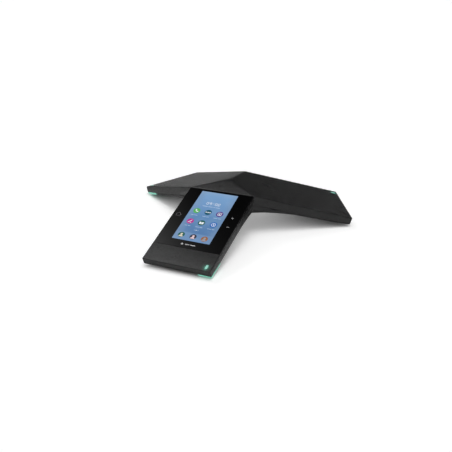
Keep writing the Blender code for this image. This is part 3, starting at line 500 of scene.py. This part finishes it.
def link_mesh(name, builder, look, body="phone", matrix=None, round_angle=None):
    """Makes a piece from a bmesh in millimetres, in place, riding on a body."""
    bmesh.ops.recalc_face_normals(builder, faces=builder.faces)
    builder.transform((matrix or Matrix.Identity(4)) @ Matrix.Scale(MM, 4))
    mesh = bpy.data.meshes.new(name)
    builder.to_mesh(mesh)
    builder.free()
    mesh.materials.append(LOOKS[look])
    if round_angle:
        mesh.shade_smooth()
        mesh.set_sharp_from_angle(angle=radians(round_angle))
    piece = bpy.data.objects.new(name, mesh)
    bpy.context.scene.collection.objects.link(piece)
    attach(piece, body)
    return piece


def body_of_node(node):
    return NODES[node]["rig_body"]


def finished(node, look, angle=40, name=None):
    """A welded, smooth-shaded copy of a CAD node that stands for it."""
    name = name or node + "_skin"
    builder = bmesh.new()
    builder.from_mesh(NODES[node].data)
    bmesh.ops.remove_doubles(builder, verts=builder.verts, dist=1e-6)
    bmesh.ops.dissolve_limit(builder, angle_limit=radians(0.2), verts=builder.verts,
                             edges=builder.edges)
    bmesh.ops.triangulate(builder, faces=[face for face in builder.faces if len(face.verts) > 4])
    mesh = bpy.data.meshes.new(name)
    builder.to_mesh(mesh)
    builder.free()
    mesh.shade_smooth()
    mesh.set_sharp_from_angle(angle=radians(angle))
    mesh.materials.append(LOOKS[look])
    piece = bpy.data.objects.new(name, mesh)
    bpy.context.scene.collection.objects.link(piece)
    weights = piece.modifiers.new("flat_faces", "WEIGHTED_NORMAL")
    weights.keep_sharp = True
    weights.weight = 90
    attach(piece, body_of_node(node))
    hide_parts(node)
    return piece


def paint(look, *nodes):
    for node in nodes:
        data = NODES[node].data
        data.materials.clear()
        data.materials.append(LOOKS[look])


# ---------------------------------------------------------------- flat shapes

def circle(x, y, radius, steps=28):
    return [(x + radius * cos(2 * pi * step / steps), y + radius * sin(2 * pi * step / steps))
            for step in range(steps)]


def rounded_box(x, y, width, height, radius, steps=5):
    points = []
    for quarter, (side, end) in enumerate(((1, 1), (-1, 1), (-1, -1), (1, -1))):
        for step in range(steps + 1):
            angle = (quarter + step / steps) * pi / 2
            points.append((x + side * (width / 2 - radius) + radius * cos(angle),
                           y + end * (height / 2 - radius) + radius * sin(angle)))
    return points


def stroke(points, width, steps=6):
    """The outline of a round-ended pen stroke through the points."""
    left, right = [], []
    half = width / 2
    count = len(points)
    for index, point in enumerate(points):
        before = Vector(points[max(index - 1, 0)])
        after = Vector(points[min(index + 1, count - 1)])
        heading = (after - before).normalized()
        side = Vector((-heading.y, heading.x)) * half
        left.append(tuple(Vector(point) + side))
        right.append(tuple(Vector(point) - side))

    def cap(centre, start):
        heading = Vector(start) - Vector(centre)
        return [tuple(Vector(centre) + Matrix.Rotation(-pi * step / steps, 2) @ heading)
                for step in range(1, steps)]

    return left + cap(points[-1], left[-1]) + right[::-1] + cap(points[0], right[0])


def arc(x, y, radius, start, end, steps=12):
    """Points on an arc, with angles in degrees."""
    return [(x + radius * cos(radians(start + (end - start) * step / steps)),
             y + radius * sin(radians(start + (end - start) * step / steps)))
            for step in range(steps + 1)]


def add_plate(builder, outline, low, high):
    """A closed flat plate from an outline in (lateral, slope), between two rises."""
    bottom = [builder.verts.new((x, -y, low)) for x, y in outline]
    top = [builder.verts.new((x, -y, high)) for x, y in outline]
    builder.faces.new(bottom[::-1])
    builder.faces.new(top)
    for index in range(len(outline)):
        after = (index + 1) % len(outline)
        builder.faces.new((bottom[index], bottom[after], top[after], top[index]))


def add_ring(builder, outer, inner, low, high):
    """A closed flat plate with a hole; both outlines have as many points."""
    loops = [[builder.verts.new((x, -y, rise)) for x, y in outline]
             for outline, rise in ((outer, low), (outer, high), (inner, high), (inner, low))]
    for first, second in zip(loops, loops[1:] + loops[:1]):
        for index in range(len(outer)):
            after = (index + 1) % len(outer)
            builder.faces.new((first[index], first[after], second[after], second[index]))


def prints(name, look, plates, rise=PRINT_RISE, height=PRINT_HEIGHT, rings=(), arm=0):
    """Plates and rings that lie on the touch panel or a roof, as one piece."""
    builder = bmesh.new()
    for outline in plates:
        add_plate(builder, outline, rise, rise + height)
    for outer, inner in rings:
        add_ring(builder, outer, inner, rise, rise + height)
    return link_mesh(name, builder, look, matrix=SLOPES[arm])


# ---------------------------------------------------------------- body

def weave_coordinates(mesh):
    """Gives each face corner its place on the metal mesh: along and across the arm it lies on."""
    layer = mesh.attributes.new("weave", "FLOAT_VECTOR", "CORNER")
    hub_inverse = HUB.inverted()
    for face in mesh.polygons:
        centre = hub_inverse @ face.center
        normal = face.normal
        sideways = Vector((-normal.y, normal.x, 0))
        if abs(normal.z) > 0.6 or sideways.length < 1e-6:
            arm = max(range(3), key=lambda index: centre.dot(
                Vector((sin(radians(120 * index)), -cos(radians(120 * index)), 0))))
            to_slope = SLOPES[arm].inverted()
            for corner in face.loop_indices:
                point = to_slope @ mesh.vertices[mesh.loops[corner].vertex_index].co
                layer.data[corner].vector = (point.x, point.y, 0)
        else:
            sideways.normalize()
            for corner in face.loop_indices:
                point = hub_inverse @ mesh.vertices[mesh.loops[corner].vertex_index].co
                layer.data[corner].vector = (point.dot(sideways), point.z, 0)


def make_covers():
    skin = finished("top_cover", "cover", 50, "cover_skin")
    weave_coordinates(skin.data)
    finished("base_cover", "belly", 40)
    finished("cover_glass", "glass", 40)


def make_lamps():
    for arm, name in enumerate(ARM_NAMES):
        finished("light_pipe_" + name, "pipe", 40)
        finished("mute_lens_" + name, "symbol", 40)
        x, y = MUTE_LATERAL, MUTE_SLOPE
        cradle = ([(x - CRADLE_R, y - 0.4)] + arc(x, y + 1.3, CRADLE_R, 180, 0, 14)
                  + [(x + CRADLE_R, y - 0.4)])
        stem = [(x, y + 4.7), (x, y + 5.7)]
        base = [(x - 1.5, y + 6.0), (x + 1.5, y + 6.0)]
        prints("mute_sign_" + name, "symbol_dim",
               [stroke(path, MUTE_PEN) for path in (cradle, stem, base)],
               rise=0.0, height=0.05, arm=arm)


# ---------------------------------------------------------------- touch panel

def make_screen():
    builder = bmesh.new()
    add_plate(builder, rounded_box(0, (LCD_START + LCD_END) / 2, 2 * LCD_HALF,
                                   LCD_END - LCD_START, LCD_CORNER), 0.0, DISC_HEIGHT)
    screen = link_mesh("screen_image", builder, "screen", matrix=SLOPES[0])
    layer = screen.data.attributes.new("chart", "FLOAT_VECTOR", "POINT")
    to_slope = SLOPES[0].inverted()
    for index, vertex in enumerate(screen.data.vertices):
        point = (to_slope @ vertex.co) / MM
        layer.data[index].vector = (point.x / LCD_HALF,
                                    (-point.y - LCD_START) / (LCD_END - LCD_START), 0)
    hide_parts("lcd_panel")


def numeral_ring(x, y, height, radius):
    """Outer and inner outline of a zero, or of a nine's bowl."""
    return (rounded_box(x, y, DIGIT_WIDTH, height, radius),
            rounded_box(x, y, DIGIT_WIDTH - 2 * DIGIT_PEN, height - 2 * DIGIT_PEN,
                        radius - DIGIT_PEN))


def make_clock():
    """A plain clock reading 09:00, and bars where the date stands."""
    y = CLOCK_SLOPE
    rings = [numeral_ring(x, y, DIGIT_HEIGHT, 1.6) for x in ZEROS]
    bowl = DIGIT_HEIGHT * 0.56
    rings.append(numeral_ring(NINE, y - (DIGIT_HEIGHT - bowl) / 2, bowl, 1.5))
    right = NINE + (DIGIT_WIDTH - DIGIT_PEN) / 2
    tail = [(right, y - 0.6), (right, y + 1.2)] + arc(right - 1.4, y + 1.2, 1.4, 0, 80, 6)
    colon = [circle(-0.3, y + shift, 0.5, 12) for shift in (-1.3, 1.3)]
    plates = [stroke(tail, DIGIT_PEN)] + colon
    prints("screen_clock", "white", plates, rings=rings)
    bars = [rounded_box(x, DATE_SLOPE, width, 1.1, 0.5) for x, width in DATE_BARS]
    prints("screen_date_bars", "pale", bars)


def icon_marks(kind, x, y):
    """White marks on an icon disc, as (plates, rings)."""
    rings = []
    if kind == "call":
        bend = arc(x + 2.2, y - 2.2, 4.0, 95, 175, 8)
        plates = [stroke(bend, 1.3), circle(bend[0][0] + 0.3, bend[0][1] - 0.4, 1.15, 14),
                  circle(bend[-1][0] + 0.4, bend[-1][1] - 0.3, 1.15, 14)]
    elif kind == "links":
        plates = [stroke([(x - 3.4, y), (x + 3.4, y)], 0.7)]
        plates += [circle(x + shift, y, 1.05, 14) for shift in (-3.4, 0, 3.4)]
    elif kind == "people":
        plates = [circle(x, y - 0.6, 1.0, 14), rounded_box(x, y + 1.4, 3.4, 1.2, 0.5)]
        rings = [(rounded_box(x, y, 6.6, 6.6, 1.4), rounded_box(x, y, 5.2, 5.2, 0.8))]
    elif kind == "notes":
        plates = [stroke([(x - 2.4, y + 2.6), (x + 2.0, y - 2.6)], 1.0),
                  stroke([(x + 0.4, y + 2.6), (x + 2.6, y + 2.6)], 0.8)]
    elif kind == "book":
        plates = [[(x - 3.6, y - 2.3), (x - 0.3, y - 1.5), (x - 0.3, y + 3.0), (x - 3.6, y + 2.2)],
                  [(x + 3.6, y - 2.3), (x + 3.6, y + 2.2), (x + 0.3, y + 3.0), (x + 0.3, y - 1.5)]]
    else:
        plates = [stroke([(x, y - 2.4), (x, y + 0.4)], 0.9),
                  stroke([(x, y + 0.4), (x + 1.8, y + 1.6)], 0.9)]
        rings = [(circle(x, y, 3.6, 28), circle(x, y, 2.9, 28))]
    return plates, rings


def make_icons():
    for kind, x, y, look in ICONS:
        prints(f"icon_{kind}_disc", look, [circle(x, y, ICON_R, 36)], height=DISC_HEIGHT)
    marks = [icon_marks(kind, x, y) for kind, x, y, _ in ICONS]
    prints("icon_marks", "white", [plate for plates, _ in marks for plate in plates], MARK_RISE,
           DISC_HEIGHT, [ring for _, rings in marks for ring in rings])
    labels = []
    for index, (_, x, y, _) in enumerate(ICONS):
        first = 4.6 + 1.1 * (index % 3)
        second = 5.2 - 0.9 * (index % 2)
        labels += [rounded_box(x - second / 2 - 0.5, y + LABEL_DROP, first, 0.9, 0.4, 3),
                   rounded_box(x + first / 2 + 0.5, y + LABEL_DROP, second, 0.9, 0.4, 3)]
    prints("icon_labels", "pale", labels)
    x, y = DOTS
    prints("page_dots", "white", [circle(x, y, 0.85, 16)])
    prints("page_dots_dim", "pale", [circle(x + shift, y, 0.6, 14) for shift in (-3, 3)])


def make_contacts():
    """Three blank contact bubbles: a disc, a plain head dot and plain shoulders."""
    for index, (x, y, disc, figure) in enumerate(CONTACTS):
        prints(f"contact_{index + 1}_disc", disc, [circle(x, y, CONTACT_R, 32)],
               height=DISC_HEIGHT)
        shoulders = [(px, 2 * (y + 4.1) - py) for px, py in arc(x, y + 4.1, 3.5, 0, 180, 12)]
        prints(f"contact_{index + 1}_figure", figure, [circle(x, y - 1.3, 1.9, 20), shoulders],
               MARK_RISE, DISC_HEIGHT)


def make_key_signs():
    """Printed touch signs beside the screen."""
    x, y = HOME_SIGN
    roof = [(x - 4.6, y + 0.2), (x, y - 3.6), (x + 4.6, y + 0.2)]
    walls = [(x - 3.2, y - 0.4), (x - 3.2, y + 3.6), (x + 3.2, y + 3.6), (x + 3.2, y - 0.4)]
    paths = [roof] + list(zip(walls, walls[1:]))
    prints("home_sign", "faint", [stroke(path, HOME_PEN) for path in paths])
    x, y = VOLUME_UP
    prints("volume_up_sign", "print",
           [stroke([(x - VOLUME_HALF, y), (x + VOLUME_HALF, y)], VOLUME_PEN),
            stroke([(x, y - VOLUME_HALF), (x, y + VOLUME_HALF)], VOLUME_PEN)])
    x, y = VOLUME_DOWN
    prints("volume_down_sign", "print",
           [stroke([(x - VOLUME_HALF, y), (x + VOLUME_HALF, y)], VOLUME_PEN)])
    y = BADGE_SLOPE
    diamond = [(-9.8, y - 2.3), (-7.6, y), (-9.8, y + 2.3), (-12.0, y)]
    prints("plain_badge", "print", [diamond, rounded_box(-1.4, y + 0.1, 7.6, 1.4, 0.7),
                                    rounded_box(7.6, y + 0.1, 8.4, 1.4, 0.7)])


# ---------------------------------------------------------------- connector bay and underside

def add_loops(builder, loops):
    """A closed body through loops of as many points each, capped at both ends."""
    rings = [[builder.verts.new(point) for point in loop] for loop in loops]
    for first, second in zip(rings, rings[1:]):
        for index in range(len(first)):
            after = (index + 1) % len(first)
            builder.faces.new((first[index], first[after], second[after], second[index]))
    builder.faces.new(rings[0][::-1])
    builder.faces.new(rings[-1])


def ring_points(radius, height, waves=0.0, steps=36):
    """A level ring; waves gives it lobes of that depth."""
    points = []
    for step in range(steps):
        angle = 2 * pi * step / steps
        reach = radius + waves * cos(LOBES * angle)
        points.append((reach * cos(angle), reach * sin(angle), height))
    return points


def make_screws():
    """Pan-head case screws with a six-lobe recess in the head and threads on the shank."""
    for index in range(8):
        node = f"case_screw_{index + 1}"
        low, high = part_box(node)
        foot = Matrix.Translation(((low.x + high.x) / 2, (low.y + high.y) / 2, low.z))
        length = (high.z - low.z) / MM
        loops = [ring_points(*ring) for ring in SCREW_HEAD]
        threaded = length - THREAD_FOOT - THREAD_END
        for turn in range(SCREW_THREADS):
            base = THREAD_FOOT + turn * threaded / SCREW_THREADS
            loops += [ring_points(CORE_R, base), ring_points(THREAD_R, base + THREAD_RISE)]
        loops += [ring_points(radius, length - back) for radius, back in SCREW_TIP]
        builder = bmesh.new()
        add_loops(builder, loops)
        piece = link_mesh(node + "_turned", builder, "screw", matrix=foot,
                          round_angle=35)
        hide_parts(node)


def add_box(builder, low, high, lean=0.0):
    """A box; lean lifts its inner (low y) end."""
    corners = [(x, y, z + (lean if y == low[1] else 0.0))
               for z in (low[2], high[2]) for x, y in
               ((low[0], low[1]), (high[0], low[1]), (high[0], high[1]), (low[0], high[1]))]
    verts = [builder.verts.new(corner) for corner in corners]
    for face in ((3, 2, 1, 0), (4, 5, 6, 7), (0, 1, 5, 4), (1, 2, 6, 5), (2, 3, 7, 6),
                 (3, 0, 4, 7)):
        builder.faces.new([verts[index] for index in face])


def node_box(node):
    """A node's box in hub coordinates, in millimetres."""
    inverse = HUB.inverted()
    low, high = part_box(node)
    return (inverse @ low) / MM, (inverse @ high) / MM


def make_jack_contacts(node, name):
    """A row of sprung contacts that lean up towards the back of a jack."""
    low, high = node_box(node)
    x = (low.x + high.x) / 2
    back, front = PIN_RUN
    bottom, top = PIN_HEIGHT
    builder = bmesh.new()
    for pin in range(JACK_PINS):
        left = x + (pin - (JACK_PINS - 1) / 2) * PIN_PITCH - PIN_WIDTH / 2
        add_box(builder, (left, high.y - back, low.z + bottom),
                (left + PIN_WIDTH, high.y - front, low.z + top), PIN_LEAN)
    link_mesh(name, builder, "contact", matrix=HUB)


def make_tongue(node, name, wide, tall, long, lift):
    """The plastic tongue of a USB socket and the contacts under it."""
    low, high = node_box(node)
    x, z = (low.x + high.x) / 2, (low.z + high.z) / 2 + lift
    builder = bmesh.new()
    profile = rounded_box(x, z, wide, tall, tall * 0.3, 3)
    add_loops(builder, [[(px, high.y - start, pz) for px, pz in profile]
                        for start in (long + 1.0, 0.6)])
    link_mesh(name, builder, "black", matrix=HUB, round_angle=35)
    builder = bmesh.new()
    pin_width = wide * 0.12
    for pin in range(USB_PINS):
        left = x + (pin - (USB_PINS - 1) / 2) * wide * 0.22 - pin_width / 2
        add_box(builder, (left, high.y - long, z - tall / 2 - 0.06),
                (left + pin_width, high.y - 1.4, z - tall / 2 + 0.02))
    link_mesh(name + "_contacts", builder, "contact", matrix=HUB)


def make_audio_collar():
    """The metal ring in the port panel around the audio jack's hole."""
    low, high = node_box("audio_jack")
    x = (low.x + high.x) / 2
    inner, outer, back, front = COLLAR
    builder = bmesh.new()
    rings = [[builder.verts.new((px, high.y + y, pz))
              for px, pz in circle(x, AUDIO_Z, radius, ROUND_STEPS)]
             for radius, y in ((inner, back), (inner, front), (outer, front), (outer, back))]
    for first, second in zip(rings, rings[1:] + rings[:1]):
        for index in range(ROUND_STEPS):
            after = (index + 1) % ROUND_STEPS
            builder.faces.new((first[index], first[after], second[after], second[index]))
    link_mesh("audio_collar", builder, "jack", matrix=HUB, round_angle=35)


def make_jack_insides():
    make_jack_contacts("lan_jack", "lan_contacts")
    make_jack_contacts("pc_jack", "pc_contacts")
    for tongue in TONGUES:
        make_tongue(*tongue)
    make_audio_collar()


def make_power_symbol():
    """The usual standby sign, on the cap of the power button."""
    low, high = node_box("power_button")
    facing = Matrix(((-1, 0, 0, (low.x + high.x) / 2 * MM), (0, 0, 1, high.y * MM),
                     (0, 1, 0, (low.z + high.z) / 2 * MM), (0, 0, 0, 1)))
    builder = bmesh.new()
    bar = [(0, end) for end in STANDBY_BAR]
    for path in (arc(0, 0, STANDBY_R, *STANDBY_ARC, 20), bar):
        add_plate(builder, stroke(path, STANDBY_PEN), 0.0, 0.05)
    link_mesh("power_symbol", builder, "print", "power_button", HUB @ facing)


def make_underside():
    finished("port_panel", "black", 30)
    finished("power_button", "black", 35)
    for node in ("lan_jack", "pc_jack", "usb_a_port", "micro_usb_port"):
        finished(node, "jack", 30)
    for name in ARM_NAMES:
        finished("foot_" + name, "rubber", 40)
    make_screws()
    make_jack_insides()
    make_power_symbol()


# ---------------------------------------------------------------- stage

def make_stage():
    builder = bmesh.new()
    bmesh.ops.create_circle(builder, cap_ends=True, segments=64, radius=FLOOR_RADIUS)
    mesh = bpy.data.meshes.new("floor")
    builder.to_mesh(mesh)
    builder.free()
    floor = bpy.data.objects.new("floor", mesh)
    bpy.context.scene.collection.objects.link(floor)
    material, tree, shader = new_material("pale_floor")
    shader.inputs["Base Color"].default_value = (FLOOR_TONE, FLOOR_TONE, FLOOR_TONE, 1)
    shader.inputs["Roughness"].default_value = 0.9
    shader.inputs["Specular IOR Level"].default_value = 0.0
    shader.inputs["Emission Color"].default_value = (1, 1, 1, 1)
    seen = add(tree, "ShaderNodeLightPath").outputs["Is Camera Ray"]
    # painted shadow: ambient occlusion dims the floor's camera-only glow under and beside the object
    painted_shadow_ao = add(tree, "ShaderNodeAmbientOcclusion", {"Distance": GLOW_REACH}, samples=8)
    share = span(tree, painted_shadow_ao.outputs["AO"], 0.0, GLOW_OPEN, 0.0, CAMERA_GLOW)
    tree.links.new(math_node(tree, "MULTIPLY", seen, share), shader.inputs["Emission Strength"])
    mesh.materials.append(material)


def make_world():
    """A dim studio with four soft lights, by direction; the camera sees plain white."""
    world = bpy.data.worlds.new("studio")
    bpy.context.scene.world = world
    world.use_nodes = True
    tree = world.node_tree
    background = tree.nodes["Background"]
    direction = add(tree, "ShaderNodeTexCoord").outputs["Generated"]
    total = 0.0
    for _, azimuth, elevation, sharpness, strength in SOFT_LIGHTS:
        turn, rise = radians(azimuth), radians(elevation)
        centre = (sin(turn) * cos(rise), cos(turn) * cos(rise), sin(rise))
        facing = vector_node(tree, "DOT_PRODUCT", direction, centre)
        falloff = math_node(tree, "MULTIPLY", math_node(tree, "SUBTRACT", facing, 1.0), sharpness)
        share = math_node(tree, "MULTIPLY", math_node(tree, "EXPONENT", falloff), strength)
        total = math_node(tree, "ADD", share, total)
    seen = add(tree, "ShaderNodeLightPath").outputs["Is Camera Ray"]
    shown = add(tree, "ShaderNodeMix", {"Factor": seen, 2: total, 3: 1.0}, data_type="FLOAT")
    tree.links.new(shown.outputs[0], background.inputs["Strength"])
    background.inputs["Color"].default_value = (1, 1, 1, 1)


def make_camera():
    data = bpy.data.cameras.new("camera")
    data.lens = LENS
    data.sensor_width = SENSOR
    camera = bpy.data.objects.new("camera", data)
    bpy.context.scene.collection.objects.link(camera)
    azimuth, elevation = radians(CAMERA_AZIMUTH), radians(CAMERA_ELEVATION)
    roll = radians(CAMERA_ROLL)
    back = Vector((sin(azimuth) * cos(elevation), -cos(azimuth) * cos(elevation), sin(elevation)))
    right = Vector((0, 0, 1)).cross(back).normalized()
    up = back.cross(right)
    turned_right = right * cos(roll) + up * sin(roll)
    turned_up = up * cos(roll) - right * sin(roll)
    rotation = Matrix((turned_right, turned_up, back)).transposed().to_4x4()
    spot = HUB @ Vector(CAMERA_SPOT)
    camera.matrix_world = Matrix.Translation(spot) @ rotation
    bpy.context.scene.camera = camera
    bpy.context.scene.view_settings.view_transform = "Standard"


def paint_nodes():
    """Gives every CAD node its material, also where a finished piece stands for it."""
    paint("gasket", "display_gasket", "speaker_gasket")
    paint("panel", "lcd_panel", "backlight_unit")
    paint("steel", "display_frame", "processor_shield", "speaker_frame", "lock_plate")
    paint("flex", "display_flex", "io_cable", "antenna_right", "antenna_left")
    paint("board", "main_board", "wireless_module", "io_board")
    paint("jack", "lan_jack", "pc_jack", "usb_a_port", "micro_usb_port", "power_switch")
    paint("black", "port_panel", "audio_jack", "power_button", "switch_plunger")
    paint("magnet", "speaker_magnet")
    paint("copper", "speaker_coil")
    paint("paper", "speaker_cone", "speaker_spider")
    paint("rubber", "speaker_surround")
    paint("screw", "board_screw_1", "board_screw_2")
    for index in range(8):
        paint("screw", f"case_screw_{index + 1}")
    for name in ARM_NAMES:
        paint("board", "tip_board_" + name)
        paint("jack", "microphone_" + name)
        paint("rubber", "foot_" + name)
        paint("flex", "tip_cable_" + name)
        paint("pipe", "light_pipe_" + name)
        paint("symbol", "mute_lens_" + name)
    paint("cover", "top_cover")
    paint("belly", "base_cover")
    paint("glass", "cover_glass")


paint_nodes()
make_covers()
make_lamps()
make_screen()
make_clock()
make_icons()
make_contacts()
make_key_signs()
make_underside()
make_stage()
make_world()
make_camera()
